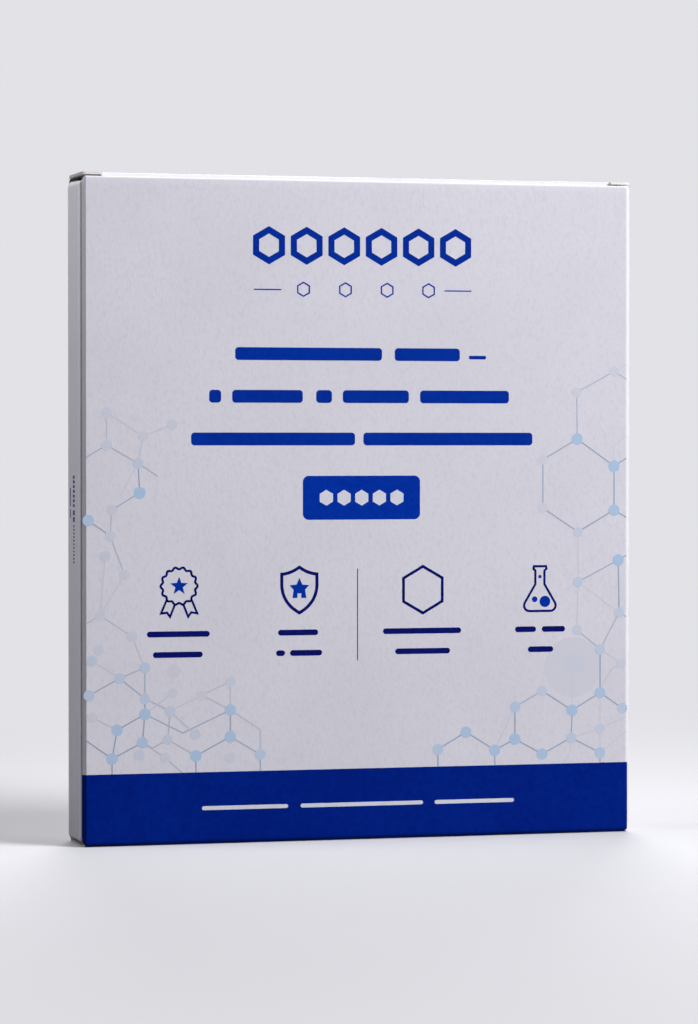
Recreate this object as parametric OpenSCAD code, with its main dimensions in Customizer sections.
// Tuck-top folding carton that holds a nested stack of hexagonal weighing dishes.
// One board blank is folded into a sleeve, closed by a glued seam and a glued bottom.
// The lid turns on the crease along the top of the back panel.
// Frame: Z up, the front panel faces -Y, origin in the middle of the underside.

/* [Carton] */
// Outside width across the front panel
carton_w = 112; // [90:1:160]
// Outside height, from the underside to the top of the lid
carton_h = 130; // [90:1:200]
// Thickness of the carton board
board_t = 0.5; // [0.3:0.05:0.7]
// Outside radius of the board's folds
fold_r = 1; // [0.8:0.05:1.4]
// How far a cut edge stops short of the panel that it meets
edge_inset = 0.5; // [0.2:0.05:1]
// Thickness of the glue between two layers of board
glue_t = 0.1; // [0.05:0.01:0.2]
// Width of the glue flap along the seam
glue_flap_w = 12; // [8:0.5:20]
// Height of the lip that glues the bottom to the back panel
bottom_lip_l = 5; // [3:0.5:6]

/* [Lid] */
// How far the lid stops short of the carton's sides
lid_inset = 0.2; // [0.1:0.05:0.5]
// Gap between the back panel and the lid's crease
hinge_gap = 0.05; // [0.03:0.01:0.1]
// Length of the locking tab at each front corner of the lid
tab_l = 4.2; // [3:0.1:8]
// Height of the slit under a locking tab
slit_gap = 0.2; // [0.1:0.05:0.4]
// Length of the tuck flap below its crease
tuck_l = 12; // [8:0.5:16]
// Corner radius of the tuck flap
tuck_corner_r = 5; // [2:0.5:7]
// Clearance between the tuck flap and the front panel
tuck_gap = 0.1; // [0.05:0.01:0.3]

/* [Dust flaps] */
// Length of a dust flap, from the outside of the carton
dust_l = 22; // [15:0.5:28]
// How far the free end of a dust flap is tapered at each side
dust_taper = 2; // [0.5:0.25:3]
// How far the side creases lie below the front panel's top edge
side_drop = 0.85; // [0.3:0.05:1.5]
// Clearance between a dust flap and the layers beside it
dust_gap = 0.3; // [0.15:0.05:0.6]

/* [Dishes] */
// Width of a dish across the flats of its rim
dish_flats = 44.5; // [36:0.5:54]
// Depth of a dish, from its rim to the underside of its base
dish_depth = 9.5; // [7:0.25:12]
// Width of the base across its flats
dish_base_flats = 30; // [24:0.5:32]
// Corner radius of the base
dish_corner_r = 3.2; // [2:0.1:5]
// Width of the flat rim
dish_rim_w = 1.6; // [1:0.1:2.5]
// Thickness of a dish's base and rim
dish_t = 0.4; // [0.25:0.05:0.6]
// Distance from one nested dish to the next
nest_pitch = 0.8; // [0.7:0.05:1.5]
// Clearance between the sloping walls of nested dishes
nest_clear = 0.05; // [0.03:0.01:0.15]
// Play between the stack of dishes and the board, at each side
stack_play = 0.15; // [0.1:0.05:1]
// Gap between the rims and the board that they stand on
seat_gap = 0.05; // [0.03:0.01:0.2]

/* [Hidden] */
$fn = 64;

board_white = [0.86, 0.86, 0.89];
core_white = [0.8, 0.79, 0.8];
dish_white = [0.95, 0.96, 0.97];
dish_count = 5;

// The stack of dishes sets the carton's depth
stack_d = dish_depth + (dish_count - 1) * nest_pitch;
carton_d = stack_d + 2 * (board_t + stack_play);
half_w = carton_w / 2;
half_d = carton_d / 2;

// Heights of the panels' edges and creases
front_top = carton_h - board_t - slit_gap;
back_top = carton_h - board_t - hinge_gap;
back_bottom = board_t + slit_gap;
side_top = front_top - side_drop;
side_bottom = board_t + glue_t;

// Where the flat of each fold's cylinder ends
fold_x = half_w - fold_r;
fold_y = half_d - fold_r;
seam_y = half_d - board_t - glue_t;
seam_fold_y = seam_y - fold_r;
sleeve_bottom = side_bottom + fold_r;
sleeve_top = side_top - fold_r;

// Hinge axis of the lid, and the outside of its tuck crease
hinge_y = half_d - board_t / 2;
hinge_z = carton_h - board_t / 2;
tuck_y = -half_d + board_t + tuck_gap;
tuck_z = carton_h - fold_r;
tuck_w = carton_w - 2 * tab_l;

// Outline of a dish: its mouth, the lean of its walls and their level thickness
dish_mouth_flats = dish_flats - 2 * dish_rim_w;
dish_lean = (dish_mouth_flats - dish_base_flats) / 2 / dish_depth;
dish_wall = nest_pitch * dish_lean - nest_clear;
cut_over = 0.5;

// The front rim stands a little way up the inside of the bottom fold
inner_fold_r = fold_r - board_t;
fold_reach = max(inner_fold_r - stack_play, 0);
fold_rise = inner_fold_r - sqrt(inner_fold_r * inner_fold_r - fold_reach * fold_reach);
dish_seat_z = board_t + fold_rise + seat_gap;

// A block between two opposite corners
module block(low, high) {
    translate(low) cube(high - low);
}

// A quarter tube of board about the Z axis, in the quadrant of -X and -Y
module fold(length) {
    rotate([0, 0, 180])
        linear_extrude(length)
            difference() {
                intersection() {
                    circle(fold_r);
                    square(fold_r);
                }
                circle(fold_r - board_t);
            }
}

// The front panel, with square shoulders where the side folds end
module front_panel() {
    block([-fold_x, -half_d, fold_r], [fold_x, -half_d + board_t, front_top]);
    for (side = [-1, 1]) {
        shoulder(side, -half_d, fold_r, sleeve_bottom);
        shoulder(side, -half_d, sleeve_top, front_top);
    }
}

// A strip that widens a panel to its cut edge, above or below a side fold
module shoulder(side, low_y, low_z, high_z) {
    low_x = side > 0 ? fold_x : -half_w + edge_inset;
    high_x = side > 0 ? half_w - edge_inset : -fold_x;
    block([low_x, low_y, low_z], [high_x, low_y + board_t, high_z]);
}

// The back panel: folded from the right side, cut along the seam at the left
module back_panel() {
    low_y = half_d - board_t;
    block([-half_w + edge_inset, low_y, back_bottom], [fold_x, half_d, back_top]);
    shoulder(1, low_y, back_bottom, sleeve_bottom);
    shoulder(1, low_y, sleeve_top, back_top);
}

// A side panel with the creases that lead to its dust flaps; it ends at back_y
module side_panel(side, back_y) {
    low_x = side > 0 ? half_w - board_t : -half_w;
    depth = back_y + fold_y;
    block([low_x, -fold_y, sleeve_bottom], [low_x + board_t, back_y, sleeve_top]);
    for (level = [[sleeve_bottom, 0], [sleeve_top, 1]])
        translate([side * fold_x, -fold_y, level[0]])
            mirror([side > 0 ? 1 : 0, 0, 0])
                mirror([0, 0, level[1]])
                    rotate([-90, 0, 0])
                        mirror([0, 1, 0])
                            fold(depth);
}

// A dust flap lying level, its outer face at the given height
module dust_flap(side, low_z, low_y) {
    high_y = half_d - 2 * board_t - glue_t - dust_gap;
    near = fold_x;
    far = half_w - dust_l;
    translate([0, 0, low_z])
        linear_extrude(board_t)
            mirror([side > 0 ? 0 : 1, 0])
                polygon([
                    [near, low_y], [near, high_y],
                    [far + dust_taper, high_y], [far, high_y - dust_taper],
                    [far, low_y + dust_taper], [far + dust_taper, low_y]
                ]);
}

// The vertical folds of the sleeve
module sleeve_folds() {
    height = sleeve_top - sleeve_bottom;
    translate([-fold_x, -fold_y, sleeve_bottom]) fold(height);
    translate([fold_x, -fold_y, sleeve_bottom]) mirror([1, 0, 0]) fold(height);
    translate([fold_x, fold_y, sleeve_bottom]) rotate([0, 0, 180]) fold(height);
    translate([-fold_x, seam_fold_y, sleeve_bottom]) mirror([0, 1, 0]) fold(height);
}

// The glue flap inside the back panel, with the glue between them
module glue_flap() {
    far = -fold_x + glue_flap_w;
    translate([0, seam_y, 0])
        rotate([90, 0, 0])
            linear_extrude(board_t)
                polygon([
                    [-fold_x, sleeve_bottom], [far, sleeve_bottom + glue_flap_w],
                    [far, sleeve_top - glue_flap_w], [-fold_x, sleeve_top]
                ]);
    block(
        [-fold_x + fold_r, seam_y, sleeve_bottom + glue_flap_w],
        [far - fold_r, half_d - board_t, sleeve_top - glue_flap_w]
    );
}

// The bottom: creased at the front, rolled up behind and glued inside the back panel
module bottom_panel() {
    half_length = half_w - edge_inset;
    lip_top = fold_r + bottom_lip_l;
    block([-half_length, -fold_y, 0], [half_length, seam_fold_y, board_t]);
    translate([-half_length, -fold_y, fold_r])
        rotate([90, 0, 90])
            fold(2 * half_length);
    translate([-half_length, seam_fold_y, fold_r])
        mirror([0, 1, 0])
            rotate([90, 0, 90])
                fold(2 * half_length);
    block([-half_length + fold_r, seam_y - board_t, fold_r], [half_length - fold_r, seam_y, lip_top]);
    block(
        [-half_length + 2 * fold_r, seam_y, back_bottom + fold_r],
        [half_length - 2 * fold_r, half_d - board_t, lip_top - fold_r]
    );
}

// The folded blank without its lid
module carton_body() {
    color(board_white) {
        front_panel();
        back_panel();
        side_panel(-1, seam_fold_y);
        side_panel(1, fold_y);
        sleeve_folds();
        glue_flap();
        bottom_panel();
        for (side = [-1, 1]) {
            dust_flap(side, side_bottom, -half_d + board_t + dust_gap);
            dust_flap(side, side_top - board_t, tuck_y + board_t + dust_gap);
        }
    }
}

// The lid: a flat panel, rounded on the hinge axis, with a rolled crease between two tabs
module lid() {
    half_length = half_w - lid_inset;
    low_z = carton_h - board_t;
    roll_y = tuck_y + fold_r;
    color(board_white) {
        block([-half_length, roll_y, low_z], [half_length, hinge_y, carton_h]);
        translate([-half_length, hinge_y, hinge_z])
            rotate([0, 90, 0])
                cylinder(h = 2 * half_length, d = board_t);
        block([-half_length, -half_d, low_z], [-tuck_w / 2, roll_y, carton_h]);
        block([tuck_w / 2, -half_d, low_z], [half_length, roll_y, carton_h]);
        translate([-tuck_w / 2, roll_y, tuck_z])
            mirror([0, 0, 1])
                rotate([90, 0, 90])
                    fold(tuck_w);
    }
}

// The tuck flap hangs from the lid's crease, just behind the front panel
module tuck_flap() {
    color(core_white)
        translate([0, tuck_y + board_t, tuck_z])
            rotate([90, 0, 0])
                linear_extrude(board_t)
                    difference() {
                        translate([-tuck_w / 2, -tuck_l]) square([tuck_w, tuck_l]);
                        for (side = [-1, 1])
                            translate([side * (tuck_w / 2 - tuck_corner_r), tuck_corner_r - tuck_l])
                                flap_corner(side);
                    }
}

// What is cut away at a rounded lower corner, about the centre of its arc
module flap_corner(side) {
    mirror([side > 0 ? 0 : 1, 0])
        difference() {
            translate([0, -tuck_corner_r - cut_over]) square(tuck_corner_r + cut_over);
            circle(tuck_corner_r);
        }
}

// A hexagon with rounded corners and flats at the top and bottom
module round_hexagon(flats, corner_r) {
    offset(r = corner_r)
        circle(d = (flats - 2 * corner_r) / cos(30), $fn = 6);
}

// A hexagonal block that widens from one height to another
module dish_block(low_flats, high_flats, height, corner_r) {
    linear_extrude(height, scale = high_flats / low_flats)
        round_hexagon(low_flats, corner_r);
}

// One dish with its base on Z = 0
module dish_shell() {
    low_in = dish_base_flats - 2 * dish_wall + 2 * dish_lean * dish_t;
    high_in = dish_mouth_flats - 2 * dish_wall + 2 * dish_lean * cut_over;
    in_depth = dish_depth - dish_t + cut_over;
    grown = dish_mouth_flats / dish_base_flats;
    difference() {
        union() {
            dish_block(dish_base_flats, dish_mouth_flats, dish_depth, dish_corner_r);
            translate([0, 0, dish_depth - dish_t])
                linear_extrude(dish_t)
                    round_hexagon(dish_flats, dish_corner_r * grown + dish_rim_w);
        }
        translate([0, 0, dish_t])
            dish_block(low_in, high_in, in_depth, dish_corner_r - dish_wall);
    }
}

// A dish standing on one flat of its rim, hollow to the front; number 1 is rearmost
module dish(number) {
    back_y = half_d - board_t - stack_play - (number - 1) * nest_pitch;
    color(dish_white)
        translate([0, back_y, dish_seat_z + dish_flats / 2])
            rotate([90, 0, 0])
                dish_shell($fn = 48);
}

carton_body();
lid();
tuck_flap();
dish(1);  // dish_1
dish(2);  // dish_2
dish(3);  // dish_3
dish(4);  // dish_4
dish(5);  // dish_5
